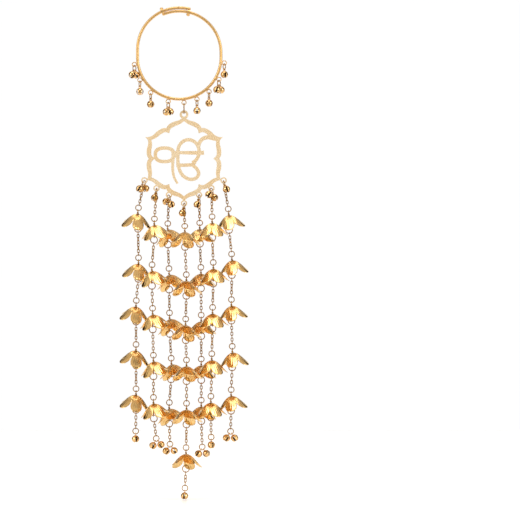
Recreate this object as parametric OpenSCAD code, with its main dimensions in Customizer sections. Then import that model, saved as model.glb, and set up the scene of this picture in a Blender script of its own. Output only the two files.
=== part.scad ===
// Kalire: a bridal bangle with a pierced plaque and seven strands of flowers and bells
// Origin: inside top of the bangle, above the drop's axis. +Z up, +X right, viewer on -Y.

/* [Bangle] */
// Thickness of the bangle wire
bangle_wire = 2.2; // [1.8:0.1:2.4]
// Radius of the bangle's bends, at the middle of the wire
bangle_bend_r = 31.3; // [30:0.1:33]
// How far the bottom bend's centre is below the middle
bangle_low = 2.55; // [2:0.05:3.5]
// How far the top bend's centre is above the middle
bangle_high = 0.8; // [0.5:0.05:1.5]
// Gap between the two wire ends where they pass each other
bangle_gap = 0.35; // [0.25:0.05:0.6]
// Outer diameter of the soldered loops
solder_loop_d = 3.9; // [3.8:0.1:4.2]
// Thickness of the soldered loops' wire
loop_wire = 0.7; // [0.6:0.05:0.8]

/* [Plaque] */
// Thickness of the plaque's sheet
sheet = 1.2; // [1:0.1:1.3]
// Distance from the plaque's centre to a corner of its outline
plaque_r = 32; // [31.5:0.1:32.5]
// Width of the plaque's frame
band_w = 3.3; // [2.8:0.1:3.6]
// Width of the emblem's strokes
stroke_w = 2.6; // [2.2:0.1:2.8]
// Height of the plaque's centre below the origin
plaque_drop = 109.3; // [109:0.1:110]

/* [Flowers] */
// Distance from a flower's middle to a petal's tip
flower_r = 11.9; // [11:0.1:12]
// Height of a flower
flower_h = 9.4; // [8:0.1:10]
// Thickness of the pressed sheet, measured upright
petal_sheet = 0.6; // [0.5:0.05:0.7]
// Radius of a petal's rounded end
petal_end_r = 4.3; // [4:0.1:4.4]

/* [Strands] */
// Diameter of the space that a chain fills
chain_d = 2; // [1.6:0.1:2.2]
// Thickness of the jump rings' and eye pins' wire
ring_wire = 0.7; // [0.6:0.05:0.75]
// Outer diameter of the jump ring above a flower
upper_ring_d = 5; // [4.6:0.1:5.4]
// Outer diameter of the jump ring below a flower
lower_ring_d = 5.8; // [5.4:0.1:6]

/* [Bells] */
// Diameter of a bell's shell
bell_d = 5.6; // [5.2:0.1:5.7]
// Wall of a bell
bell_wall = 0.45; // [0.4:0.05:0.6]
// Width of a bell's slits
bell_slit = 0.8; // [0.6:0.1:1]
// Outer diameter of a jump ring that holds bells
bell_ring_d = 5; // [4.9:0.1:5.4]

/* [Hidden] */
rows = 5;
$fn = 48;

gold_wire = "#d9a441";
gold_plaque = "#eec583";
gold_petal = "#e0962f";
gold_ring = "#c9a566";
gold_bell = "#c98a3a";

// Gap left where one wire rests on another
rest_gap = 0.13;

// Strands, from the left: depth of the flowers, turn, lean to the front and to the side
DEPTH = 0;
TURN = 1;
LEAN_FRONT = 2;
LEAN_SIDE = 3;
strand_table = [
    [4, 66, 16, 9],
    [-8, 12, 8, -10],
    [6.5, 60, -10, -15],
    [-10, 0, -14, 0],
    [9, 25, 0, 0],
    [-8, 12, 4, -2],
    [4, 45, 8, -9],
];
middle_strand = 4;

// Tops of the flowers across and down, row by row, strand by strand from the left
flower_x = [
    [-34.7, -22.1, -12.4, 0.8, 11.7, 21.2, 33.5],
    [-34.2, -23.9, -11.3, 2.0, 12.6, 22.1, 35.9],
    [-36.1, -23.3, -11.0, 1.4, 12.8, 21.5, 35.5],
    [-36.1, -22.7, -9.6, 2.1, 12.8, 20.9, 36.2],
    [-36.1, -22.7, -11.3, 2.1, 12.8, 20.2, 35.3],
    [0, 0, 0, 1.7, 0, 0, 0],
];
flower_z = [
    [-150.8, -159.2, -162.6, -164.5, -162.0, -157.5, -151.7],
    [-188.4, -193.6, -196.5, -201.0, -195.6, -191.9, -185.6],
    [-220.5, -226.2, -229.8, -234.2, -231.5, -225.5, -219.8],
    [-253.5, -261.3, -263.9, -264.8, -264.6, -260.2, -254.9],
    [-286.8, -292.8, -297.2, -297.2, -295.5, -292.0, -287.5],
    [0, 0, 0, -330.3, 0, 0, 0],
];

// Lowest jump rings of the strands: across, down, number of bells
TIP_X = 0;
TIP_Z = 1;
TIP_BELLS = 2;
tip_table = [
    [-36.4, -313.4, 1],
    [-20.4, -318.4, 2],
    [-10.6, -323.4, 2],
    [0.8, -355.4, 1],
    [13.6, -325.6, 2],
    [20.5, -317.4, 1],
    [34.9, -313.6, 2],
];

// Rings along the plaque's lower sides: across and up from its centre,
// number of bells, turn of the jump ring, side of the chain that a single bell hangs on
RING_X = 0;
RING_Z = 1;
RING_BELLS = 2;
RING_TURN = 3;
RING_SIDE = 4;
low_ring_table = [
    [-29.7, -16.3, 2, -30, 1],
    [-20.6, -22.2, 1, 15, 1],
    [-11.3, -27.2, 2, 30, 1],
    [0, -33.5, 1, 20, 1],
    [11.3, -27.2, 1, -20, -1],
    [20.6, -22.2, 2, -30, 1],
    [29.7, -16.3, 1, 15, -1],
];

// Loops soldered to the bangle: angle, number of bells, turn of the jump ring
LOOP_ANGLE = 0;
LOOP_BELLS = 1;
LOOP_TURN = 2;
left_loops = [
    [189, 2, -30],
    [210, 1, 20],
    [231, 1, -15],
    [256, 2, 30],
];
right_loops = [
    [293, 1, -20],
    [311, 1, 15],
    [331, 2, -30],
    [353, 1, 25],
];
drop_loop_angle = 276;

// Rings, rods and hanging

// A round wire ring that stands upright and faces the viewer
module wire_ring(outer_d, wire) {
    rotate([90, 0, 0])
        rotate_extrude()
            translate([(outer_d - wire) / 2, 0])
                circle(d = wire, $fn = 24);
}

// A straight rod from one point to another
module rod(from, to, d) {
    reach = to - from;
    translate(from)
        rotate([0, acos(reach.z / norm(reach)), atan2(reach.y, reach.x)])
            cylinder(d = d, h = norm(reach), $fn = 24);
}

// Turns what hangs straight down so that it points along a slanting line
module hang_along(from, to) {
    way = (to - from) / norm(to - from);
    translate(from)
        rotate([asin(way.y), atan2(-way.x, -way.z), 0])
            children();
}

// Bangle

bangle_pitch = bangle_wire + bangle_gap;
solder_loop_r = bangle_bend_r + (bangle_wire + solder_loop_d) / 2 - 0.3;
// The bangle hangs a little to the left, so that its drop loop is on the drop's axis
bangle_x = -hundredths(solder_loop_r * cos(drop_loop_angle));
bangle_inside_r = bangle_bend_r - bangle_wire / 2;
bangle_z = -hundredths(bangle_high + sqrt(bangle_inside_r ^ 2 - bangle_x ^ 2));
low_bend_z = bangle_z - bangle_low;
high_bend_z = bangle_z + bangle_high;
outer_bend_z = high_bend_z + bangle_pitch;

// Angles from +X where the inner wire and the outer wire end at the top
inner_end = 112;
outer_end = 77;
outer_top_r = bangle_bend_r + bangle_pitch;
collar_wall = 0.7;
collar_w = 1.8;
knob_d = 2.7;
// How far a knob's middle is from the middle of the wire that its collar slides on
knob_reach = 1.7;

function hundredths(length) = round(100 * length) / 100;
function loop_at(angle) = [
    bangle_x + solder_loop_r * cos(angle),
    0,
    low_bend_z + solder_loop_r * sin(angle),
];

// A bend of bangle wire in the upright plane, about the point [x, z]
module bend(x, z, r, from, turn) {
    translate([x, 0, z])
        rotate([90, 0, 0])
            rotate([0, 0, from])
                rotate_extrude(angle = turn)
                    translate([r, 0])
                        circle(d = bangle_wire);
}

// A straight side of the bangle
module side_wire(x, low, high) {
    translate([x, 0, low])
        cylinder(d = bangle_wire, h = high - low);
}

// The rounded end of one wire, soldered to a knobbed collar that slides on the other wire
// side: 1 for a knob on the bangle's outside, -1 for one on its inside
module wire_end(angle, own_r, other_r, side) {
    bore = bangle_wire + 2 * bangle_gap;
    translate([bangle_x, 0, high_bend_z])
        rotate([0, -angle, 0]) {
            translate([own_r, 0, 0])
                sphere(d = bangle_wire);
            translate([other_r, 0, 0])
                difference() {
                    union() {
                        cylinder(d = bore + 2 * collar_wall, h = collar_w, center = true);
                        translate([side * knob_reach, 0, 0])
                            sphere(d = knob_d);
                    }
                    cylinder(d = bore, h = 2 * knob_d, center = true);
                }
        }
}

module bangle() {
    left = bangle_x - bangle_bend_r;
    right = bangle_x + bangle_bend_r;
    // The outer wire is still closing in on the inner one where the inner one ends
    outer_at_inner_end = bangle_bend_r + bangle_pitch * sin(inner_end);
    color(gold_wire) {
        bend(bangle_x, low_bend_z, bangle_bend_r, 180, 90);
        bend(bangle_x, low_bend_z, bangle_bend_r, 270, 90);
        side_wire(right, low_bend_z, high_bend_z);
        side_wire(left, low_bend_z, outer_bend_z);
        bend(bangle_x, high_bend_z, bangle_bend_r, 0, inner_end);
        bend(bangle_x, outer_bend_z, bangle_bend_r, 90, 90);
        bend(bangle_x, high_bend_z, outer_top_r, outer_end, 90 - outer_end);
        wire_end(inner_end, bangle_bend_r, outer_at_inner_end, 1);
        wire_end(outer_end, outer_top_r, bangle_bend_r, -1);
        for (loop = concat(left_loops, right_loops, [[drop_loop_angle, 0, 0]]))
            translate(loop_at(loop[LOOP_ANGLE]))
                wire_ring(solder_loop_d, loop_wire);
    }
}

// Bells

bell_loop_d = 2.3;
bell_loop_wire = 0.6;
// How far a bell's ball hangs below the middle of its loop
bell_arm = (bell_loop_d + bell_d) / 2 - 0.3;
bell_slack = bell_loop_d / 2 - bell_loop_wire - ring_wire / 2 - rest_gap;
pair_place = 31;
chain_pair_place = 52;
chain_pair_splay = 42;

// A slit bell, hung from the middle of its loop, which stands edge on
module bell(turn) {
    rotate([0, 0, 90])
        wire_ring(bell_loop_d, bell_loop_wire);
    translate([0, 0, -bell_arm])
        rotate([0, 0, turn])
            difference() {
                sphere(d = bell_d);
                sphere(d = bell_d - 2 * bell_wall);
                for (side = [0, 90])
                    rotate([0, 0, side])
                        translate([-bell_d, -bell_slit / 2, -bell_d])
                            cube([2 * bell_d, bell_slit, bell_d]);
            }
}

// A bell on an upright ring about the origin
// place: how far round from the ring's lowest point; splay: how far the bell swings out
module bell_on_ring(ring_d, place, splay, turn) {
    rotate([0, -place, 0])
        translate([0, 0, -(ring_d - ring_wire) / 2 - bell_slack])
            rotate([0, place - splay, 0])
                bell(turn);
}

// One bell, or two side by side
module bell_cluster(ring_d, count, turn) {
    if (count == 1)
        bell_on_ring(ring_d, 0, 0, turn);
    else
        for (side = [-1, 1])
            bell_on_ring(ring_d, side * pair_place, side * pair_place, turn + 30 * side);
}

// How far the middle of a bell ring hangs below the middle of a soldered loop
loop_slack = 0.25;
bell_ring_hang = solder_loop_d / 2 - loop_wire - ring_wire - loop_slack + bell_ring_d / 2;

module loop_bells(loops) {
    color(gold_bell)
        for (loop = loops)
            translate(loop_at(loop[LOOP_ANGLE]) - [0, 0, bell_ring_hang])
                rotate([0, 0, 90 + loop[LOOP_TURN]]) {
                    wire_ring(bell_ring_d, ring_wire);
                    bell_cluster(bell_ring_d, loop[LOOP_BELLS], loop[LOOP_ANGLE]);
                }
}

module bangle_bells_left() loop_bells(left_loops);
module bangle_bells_right() loop_bells(right_loops);

// Plaque

plaque_z = -plaque_drop;
top_ring_z = 33;
top_ring_d = 6.6;
top_ring_hole = 3;
low_ring_d = 4.8;
low_ring_hole = 2.8;
side_steps = 20;
kink_depth = 1.3;
corner_r = 0.4;
cusp_depth = 1.8;
// The ear's tip and where its edges start on the frame, from the outline's corner
ear_tip = [1.4, 0.2];
ear_top = [-2.4, 0.1];
ear_low = [-0.9, -2.2];

// How far a half side bows, from its corner (0) to the side's middle (1)
function bow(t) =
    t < 0.5 ? -0.9 * sin(360 * t) :
    t < 0.88 ? 0.3 * sin(180 * (t - 0.5) / 0.38) :
    -kink_depth * (t - 0.88) / 0.12;
// How far the inner edge's cusp reaches in at the side's middle
function cusp(t) = t < 0.84 ? 0 : -cusp_depth * (t - 0.84) / 0.16;

// Outline of a scalloped hexagon: r to its corners, cusps 1 for the inner edge and 0 for the outer
function hexagon_points(r, cusps) = [
    for (corner = [0:5], step = [0:side_steps - 1])
        let (
            t = step / side_steps,
            near = 1 - abs(1 - 2 * t),
            along = r * (0.5 - t),
            out = r * cos(30) + (cusps == 1 ? 0.5 * bow(near) + cusp(near) : bow(near)),
            turn = 60 * corner - 60
        )
        [out * cos(turn) + along * sin(turn), out * sin(turn) - along * cos(turn)]
];

// A smooth curve through a few points
function curve_point(a, b, c, d, t) =
    0.5 * (2 * b + (c - a) * t + (2 * a - 5 * b + 4 * c - d) * t ^ 2 + (3 * b - a - 3 * c + d) * t ^ 3);
function curve(points, steps = 5) =
    let (last = len(points) - 1)
    concat(
        [
            for (i = [0:last - 1], step = [0:steps - 1])
                curve_point(
                    points[max(i - 1, 0)], points[i], points[i + 1], points[min(i + 2, last)],
                    step / steps
                )
        ],
        [points[last]]
    );

// A stroke along a path, its width running from one value to another
module stroke(path, from_w = stroke_w, to_w = stroke_w) {
    last = len(path) - 1;
    normals = [
        for (i = [0:last])
            let (way = path[min(i + 1, last)] - path[max(i - 1, 0)])
            [-way.y, way.x] / norm(way)
    ];
    half = [for (i = [0:last]) (from_w + (to_w - from_w) * i / last) / 2];
    polygon(concat(
        [for (i = [0:last]) path[i] + normals[i] * half[i]],
        [for (i = [last:-1:0]) path[i] - normals[i] * half[i]]
    ));
}

// A rounded oval, fuller than an ellipse
module full_oval(half_w, half_h) {
    polygon([
        for (angle = [0:10:350])
            let (c = cos(angle), s = sin(angle))
            [half_w * sign(c) * abs(c) ^ 0.8, half_h * sign(s) * abs(s) ^ 0.8]
    ]);
}

// The emblem's numeral, on the left
numeral_at = [-14.6, 2.9];
numeral_half = [8.2, 6.4];
module numeral() {
    translate(numeral_at)
        difference() {
            full_oval(numeral_half.x, numeral_half.y);
            full_oval(numeral_half.x - stroke_w, numeral_half.y - stroke_w);
        }
    stroke(
        curve([[-8.2, 5.5], [-8.2, 0], [-8.5, -7], [-7.8, -12.6], [-6.4, -16], [-4.8, -18.7]]),
        stroke_w, 1.6
    );
}

// The emblem's letter: arch, bars, bowl and the tail that runs into the frame
arch_at = [3.4, 5.3];
arch_half = [8, 8.9];
module letter() {
    arch = [
        for (angle = [180:-10:-70])
            arch_at + [arch_half.x * cos(angle), arch_half.y * sin(angle)]
    ];
    stroke(arch);
    stroke([[-4.6, 5.5], [-4.6, 0], [-4.5, -6]]);
    stroke([[-8.5, 4.6], [-2, 4.5], [5, 4.4], [12, 4.4], [15, 4.4]], 2.2, 3.2);
    stroke([[-4.5, -4.9], [0, -4.9], [6, -4.6], [8.6, -2.4]]);
    stroke(curve([
        [6, -4.5], [9.6, -7.6], [11, -11.5], [8.6, -14.8],
        [4, -15.4], [-0.6, -12.9], [-3.3, -8.6], [-4.5, -4],
    ]));
    stroke(curve([[11, 9.5], [11.8, 12.3], [14.2, 15], [18, 16], [22, 15.3], [27, 14.4]]), stroke_w, 3.4);
}

// The points at the frame's upper corners, on the right side
module ear() {
    corner = plaque_r * [cos(30), sin(30)];
    polygon([corner + ear_tip, corner + ear_top, corner + ear_low]);
}

// Frame and emblem in one, with the corners rounded where strokes meet
module frame_and_emblem() {
    offset(r = -corner_r, $fn = 12)
        offset(delta = corner_r) {
            difference() {
                polygon(hexagon_points(plaque_r, 0));
                polygon(hexagon_points(plaque_r - band_w / cos(30), 1));
            }
            ear();
            mirror([1, 0])
                ear();
            numeral();
            letter();
        }
}

module plaque_shape() {
    difference() {
        union() {
            frame_and_emblem();
            translate([0, top_ring_z])
                circle(d = top_ring_d);
            for (ring = low_ring_table)
                translate([ring[RING_X], ring[RING_Z]])
                    circle(d = low_ring_d);
        }
        translate([0, top_ring_z])
            circle(d = top_ring_hole);
        for (ring = low_ring_table)
            translate([ring[RING_X], ring[RING_Z]])
                circle(d = low_ring_hole);
    }
}

module plaque() {
    color(gold_plaque)
        translate([0, sheet / 2, plaque_z])
            rotate([90, 0, 0])
                linear_extrude(sheet)
                    plaque_shape();
}

// Main link: hangs on the drop loop's lowest point and carries the plaque's top ring

link_wire = 0.8;
link_inner_r = 1.5;
link_gap = 0.15;
plaque_gap = 0.25;
link_top_z = loop_at(drop_loop_angle).z - solder_loop_d / 2 + loop_wire + link_gap - link_inner_r;
link_low_z = plaque_z + top_ring_z + top_ring_hole / 2 - plaque_gap + link_inner_r;

module main_link() {
    bend_r = link_inner_r + link_wire / 2;
    color(gold_ring) {
        for (end = [[link_top_z, 0], [link_low_z, 180]])
            translate([0, 0, end[0]])
                rotate([90, 0, 90])
                    rotate([0, 0, end[1]])
                        rotate_extrude(angle = 180)
                            translate([bend_r, 0])
                                circle(d = link_wire);
        for (side = [-bend_r, bend_r])
            rod([0, side, link_low_z], [0, side, link_top_z], link_wire);
    }
}

// Flowers

flower_hole_r = 0.9;
flower_steps = 6;
flower_core_r = 5.2;
petal_count = 5;
// The wall follows this much of a cosine wave, which makes it flare at the rim
flare = 150;
function petal_z(r) = -flower_h * (1 - cos(flare * r / flower_r)) / (1 - cos(flare));

// The middle strand's first flower hangs a little nearer to the plaque than the rest
first_flower_set_back = 1;
function flower_depth(strand, row) =
    strand_table[strand - 1][DEPTH] + (row == 1 && strand == middle_strand ? first_flower_set_back : 0);
function flower_top(strand, row) = [
    flower_x[row - 1][strand - 1],
    flower_depth(strand, row),
    flower_z[row - 1][strand - 1],
];

// The outline of the petals from above
module petal_outline() {
    petal_r = flower_r - petal_end_r;
    circle(r = flower_core_r);
    for (i = [0:petal_count - 1])
        rotate(360 / petal_count * i) {
            translate([petal_r, 0])
                circle(r = petal_end_r);
            polygon([
                [1, -1],
                [petal_r - 1, 1 - petal_end_r],
                [petal_r - 1, petal_end_r - 1],
                [1, 1],
            ]);
        }
}

module flower_shape() {
    reach = flower_r + 1 - flower_hole_r;
    wall = [
        for (i = [0:flower_steps])
            let (r = flower_hole_r + reach * i / flower_steps)
            [r, petal_z(r)]
    ];
    under = [for (i = [flower_steps:-1:0]) wall[i] - [0, petal_sheet]];
    intersection() {
        rotate_extrude()
            polygon(concat(wall, under));
        translate([0, 0, -2 * flower_h])
            linear_extrude(3 * flower_h)
                petal_outline();
    }
}

module flower(strand, row) {
    place = strand_table[strand - 1];
    color(gold_petal)
        translate(flower_top(strand, row))
            rotate([place[LEAN_FRONT], place[LEAN_SIDE], 0])
                rotate([0, 0, place[TURN]])
                    flower_shape();
}

// Strands: eye pins through the flowers, jump rings and chains

pin_eye_d = 2.8;
// Middles of the pin's eyes above and below the flower's top
upper_eye_z = 2.4;
lower_eye_z = -8.3;
stop_bead_d = 2.4;
stop_bead_z = -2.2;
// From an eye's middle to the middle of the jump ring's wire in it
eye_reach = pin_eye_d / 2 - ring_wire - rest_gap - ring_wire / 2;
chain_gap = 0.15;

// An eye pin that passes through a flower and holds it on a bead
module eye_pin(top) {
    arm = (pin_eye_d - ring_wire) / 2;
    for (z = [upper_eye_z, lower_eye_z])
        translate(top + [0, 0, z])
            rotate([0, 0, 90])
                wire_ring(pin_eye_d, ring_wire);
    rod(top + [0, 0, upper_eye_z - arm], top + [0, 0, lower_eye_z + arm], ring_wire);
    translate(top + [0, 0, stop_bead_z])
        sphere(d = stop_bead_d);
}

// Jump ring, chain and jump ring in one line, between the middles of the wires they hang on
module chain_run(from, to, from_ring_d, to_ring_d) {
    span = norm(to - from);
    start = from_ring_d - ring_wire / 2 + chain_gap;
    end = span - to_ring_d + ring_wire / 2 - chain_gap;
    hang_along(from, to) {
        translate([0, 0, -(from_ring_d - ring_wire) / 2])
            wire_ring(from_ring_d, ring_wire);
        translate([0, 0, -end])
            cylinder(d = chain_d, h = end - start, $fn = 24);
        translate([0, 0, (to_ring_d - ring_wire) / 2 - span])
            wire_ring(to_ring_d, ring_wire);
    }
}

// Where a strand's first jump ring rests in the plaque's ring, at the middle of its wire:
// the more it slants, the higher it rides on the hole's edge
function ring_ride(strand) = 0.05 * abs(strand_table[strand - 1][DEPTH]) - 0.42;
function first_rest(strand) = [
    low_ring_table[strand - 1][RING_X],
    0,
    plaque_z + low_ring_table[strand - 1][RING_Z] + ring_ride(strand),
];
function upper_rest(strand, row) = flower_top(strand, row) + [0, 0, upper_eye_z + eye_reach];
function lower_rest(strand, row) = flower_top(strand, row) + [0, 0, lower_eye_z - eye_reach];
function last_row(strand) = strand == middle_strand ? rows + 1 : rows;
// The lowest point of a strand's last jump ring
function tip_rest(strand) = [
    tip_table[strand - 1][TIP_X],
    strand_table[strand - 1][DEPTH],
    tip_table[strand - 1][TIP_Z] - bell_ring_d / 2,
];

// The first chain hangs from a jump ring that stands edge on, for it holds the plaque's ring
module first_run(strand) {
    from = first_rest(strand);
    to = upper_rest(strand, 1);
    span = norm(to - from);
    start = bell_ring_d - ring_wire / 2 + chain_gap;
    end = span - upper_ring_d + ring_wire / 2 - chain_gap;
    hang_along(from, to) {
        translate([0, 0, -(bell_ring_d - ring_wire) / 2])
            rotate([0, 0, 90 + low_ring_table[strand - 1][RING_TURN]])
                wire_ring(bell_ring_d, ring_wire);
        translate([0, 0, -end])
            cylinder(d = chain_d, h = end - start, $fn = 24);
        translate([0, 0, (upper_ring_d - ring_wire) / 2 - span])
            wire_ring(upper_ring_d, ring_wire);
    }
}

module strand(number) {
    last = last_row(number);
    color(gold_ring) {
        first_run(number);
        for (row = [1:last])
            eye_pin(flower_top(number, row));
        for (row = [2:last])
            chain_run(lower_rest(number, row - 1), upper_rest(number, row), lower_ring_d, upper_ring_d);
        chain_run(lower_rest(number, last), tip_rest(number), lower_ring_d, bell_ring_d);
    }
}

module tip_bells(number) {
    from = lower_rest(number, last_row(number));
    to = tip_rest(number);
    color(gold_bell)
        hang_along(from, to)
            translate([0, 0, (bell_ring_d - ring_wire) / 2 - norm(to - from)])
                bell_cluster(bell_ring_d, tip_table[number - 1][TIP_BELLS], 20 * number);
}

module plaque_bells(strands) {
    color(gold_bell)
        for (number = strands) {
            ring = low_ring_table[number - 1];
            sides = ring[RING_BELLS] == 2 ? [-1, 1] : [ring[RING_SIDE]];
            hang_along(first_rest(number), upper_rest(number, 1))
                translate([0, 0, -(bell_ring_d - ring_wire) / 2])
                    rotate([0, 0, 90 + ring[RING_TURN]])
                        for (side = sides)
                            bell_on_ring(
                                bell_ring_d, side * chain_pair_place, side * chain_pair_splay, 25 * number
                            );
        }
}

module plaque_bells_left() plaque_bells([1:3]);
module plaque_bells_right() plaque_bells([4:7]);

bangle();
bangle_bells_left();
bangle_bells_right();
main_link();
plaque();
plaque_bells_left();
plaque_bells_right();
for (number = [1:7]) {
    strand(number);
    tip_bells(number);
    for (row = [1:last_row(number)])
        flower(number, row);
}
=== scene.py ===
"""Looks of a bridal kalire: a gold-plated bangle, a pierced plaque, and strands of flowers and bells."""

import logging
import math
from dataclasses import dataclass, field
from enum import Enum
from typing import ClassVar

import bmesh
import bpy
import numpy as np
from mathutils import Matrix, Vector


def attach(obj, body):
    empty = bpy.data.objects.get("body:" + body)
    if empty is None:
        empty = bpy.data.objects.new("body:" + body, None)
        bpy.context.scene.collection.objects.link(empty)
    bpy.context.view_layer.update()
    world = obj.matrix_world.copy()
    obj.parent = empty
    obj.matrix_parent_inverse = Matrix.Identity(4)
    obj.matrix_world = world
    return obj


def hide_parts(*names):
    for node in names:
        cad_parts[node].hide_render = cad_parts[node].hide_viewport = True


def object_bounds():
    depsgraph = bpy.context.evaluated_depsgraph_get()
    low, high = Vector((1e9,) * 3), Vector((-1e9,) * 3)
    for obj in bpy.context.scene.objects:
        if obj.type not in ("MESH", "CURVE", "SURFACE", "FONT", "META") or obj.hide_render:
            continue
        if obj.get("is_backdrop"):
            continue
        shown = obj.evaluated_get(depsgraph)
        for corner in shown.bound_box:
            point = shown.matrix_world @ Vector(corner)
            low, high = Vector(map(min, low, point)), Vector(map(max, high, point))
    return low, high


log = logging.getLogger("kalire")

MM = 0.001
# Turned by this from one ring to the next, the rings' joints never line up
GOLDEN_TURN = math.radians(137.5)
# Edges that are sharper than this are rounded
SMOOTH_LIMIT = math.radians(40)
# Vertices closer than this are one vertex
SEAM_REACH = 0.002 * MM
# The wire of the jump rings and eye pins, in mm
RING_WIRE = 0.7
# Nearly all of a noise texture lies between these values
NOISE_SPAN = (0.3, 0.7)
# The clearest mirror that any finish has
LEAST_ROUGHNESS = 0.02

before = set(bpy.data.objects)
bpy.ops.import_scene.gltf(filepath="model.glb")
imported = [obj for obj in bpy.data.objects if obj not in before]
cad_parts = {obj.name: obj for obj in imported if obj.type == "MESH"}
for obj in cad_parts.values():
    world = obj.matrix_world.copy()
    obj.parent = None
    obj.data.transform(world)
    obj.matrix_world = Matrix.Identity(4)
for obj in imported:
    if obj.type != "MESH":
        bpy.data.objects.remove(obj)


# Colours, nodes and meshes


def linear(hex_colour: str) -> tuple[float, float, float, float]:
    """Turns an sRGB colour into the linear values that shaders take.

    Args:
        hex_colour: the colour, such as "#d9a441".

    Returns:
        Red, green, blue and an alpha of 1.
    """
    parts = [int(hex_colour[i : i + 2], 16) / 255 for i in (1, 3, 5)]
    red, green, blue = (c / 12.92 if c <= 0.04045 else ((c + 0.055) / 1.055) ** 2.4 for c in parts)
    return (red, green, blue, 1.0)


def add_node(
    tree: bpy.types.NodeTree, kind: str, settings: dict[str, object] | None = None, **inputs: object
) -> bpy.types.Node:
    """Adds a shader node with its settings, values and links.

    Args:
        tree: the node tree that takes the node.
        kind: the node's type, such as "ShaderNodeTexNoise".
        settings: values for the node's own properties.
        inputs: a value or another node's output for each input socket. An underscore stands for a
            space, and a name such as "in1" for the socket of that number.

    Returns:
        The new node.
    """
    node = tree.nodes.new(kind)
    for name, value in (settings or {}).items():
        setattr(node, name, value)
    for name, value in inputs.items():
        numbered = name.startswith("in") and name[2:].isdigit()
        socket = node.inputs[int(name[2:])] if numbered else node.inputs[name.replace("_", " ")]
        if isinstance(value, bpy.types.NodeSocket):
            tree.links.new(value, socket)
        else:
            socket.default_value = value
    return node


def unit(vector: np.ndarray) -> np.ndarray:
    """The vector at a length of 1."""
    return vector / np.linalg.norm(vector)


def square_to(axis: np.ndarray) -> np.ndarray:
    """Some unit vector at a right angle to the axis."""
    helper = np.eye(3)[int(np.argmin(np.abs(axis)))]
    return unit(np.cross(axis, helper))


class MeshDraft:
    """Vertices and faces that are gathered before they become one object."""

    ball_rows: ClassVar[int] = 15
    ball_sides: ClassVar[int] = 20

    def __init__(self) -> None:
        """Starts an empty draft."""
        self.points: list[np.ndarray] = []
        self.faces: list[tuple[int, ...]] = []
        self.count = 0

    def add_grid(self, grid: np.ndarray, close_rows: bool = False, close_columns: bool = False) -> int:
        """Adds a grid of points as a sheet of four-sided faces.

        Args:
            grid: points as rows x columns x 3.
            close_rows: joins the last row to the first.
            close_columns: joins the last column to the first.

        Returns:
            The number of the grid's first vertex.
        """
        rows, columns = grid.shape[:2]
        first = self.count
        self.points.append(grid.reshape(-1, 3))
        self.count += rows * columns
        for i in range(rows if close_rows else rows - 1):
            below = (i + 1) % rows
            for j in range(columns if close_columns else columns - 1):
                beside = (j + 1) % columns
                corners = ((i, j), (i, beside), (below, beside), (below, j))
                self.faces.append(tuple(first + row * columns + column for row, column in corners))
        return first

    def add_face(self, corners: list[int]) -> None:
        """Adds one face between vertices that are in the draft already."""
        self.faces.append(tuple(corners))

    def add_wire(
        self, path: np.ndarray, radius: float | np.ndarray, closed: bool = False, sides: int = 10
    ) -> None:
        """Adds a round wire along a path.

        Args:
            path: the wire's middle line, points x 3.
            radius: the wire's radius, one for all or one for each point.
            closed: True where the path's end meets its start.
            sides: how many sides the wire's section has.
        """
        path = np.asarray(path, float)
        before, after = np.roll(path, 1, 0), np.roll(path, -1, 0)
        if not closed:
            before[0], after[-1] = path[0], path[-1]
        ways = after - before
        ways /= np.linalg.norm(ways, axis=1)[:, None]
        across = square_to(ways[0])
        turns = np.linspace(0, 2 * math.pi, sides, endpoint=False)
        radii = np.broadcast_to(radius, len(path))
        rings = []
        for point, way, r in zip(path, ways, radii):
            across = unit(across - way * np.dot(across, way))
            up = np.cross(way, across)
            rings.append(point + r * (np.outer(np.cos(turns), across) + np.outer(np.sin(turns), up)))
        first = self.add_grid(np.array(rings), close_rows=closed, close_columns=True)
        if not closed:
            last = first + (len(path) - 1) * sides
            self.add_face([first + k for k in range(sides)][::-1])
            self.add_face([last + k for k in range(sides)])

    def add_ball(self, middle: np.ndarray, radius: float, last_row: float) -> None:
        """Adds a ball on an upright axis, with a small flat face at each pole.

        Args:
            middle: the ball's middle.
            radius: its radius.
            last_row: where its rows end, in degrees above and below the middle.
        """
        highs = np.radians(np.linspace(-last_row, last_row, self.ball_rows))
        line = middle + np.outer(radius * np.sin(highs), (0, 0, 1))
        self.add_wire(line, radius * np.cos(highs), sides=self.ball_sides)

    def to_object(
        self, name: str, material: bpy.types.Material, place: Matrix | None = None
    ) -> bpy.types.Object:
        """Makes one smooth object of the draft.

        Args:
            name: the object's name.
            material: its finish.
            place: where the draft's own frame stands in the row frame.

        Returns:
            The object, linked to the scene.
        """
        points = np.concatenate(self.points)
        if place is not None:
            points = points @ np.array(place.to_3x3()).T + np.array(place.translation)
        mesh = bpy.data.meshes.new(name)
        mesh.from_pydata(points.tolist(), [], self.faces)
        mesh.validate()
        mesh.materials.append(material)
        mesh.polygons.foreach_set("use_smooth", [True] * len(mesh.polygons))
        obj = bpy.data.objects.new(name, mesh)
        bpy.context.scene.collection.objects.link(obj)
        return obj


def join_seams(obj: bpy.types.Object) -> None:
    """Joins a piece's sheets where their edges meet, and turns all its faces outwards.

    Args:
        obj: the piece, whose mesh is changed.
    """
    mesh = bmesh.new()
    mesh.from_mesh(obj.data)
    bmesh.ops.remove_doubles(mesh, verts=mesh.verts, dist=SEAM_REACH)
    bmesh.ops.recalc_face_normals(mesh, faces=mesh.faces)
    mesh.to_mesh(obj.data)
    mesh.free()


# Finishes


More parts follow.
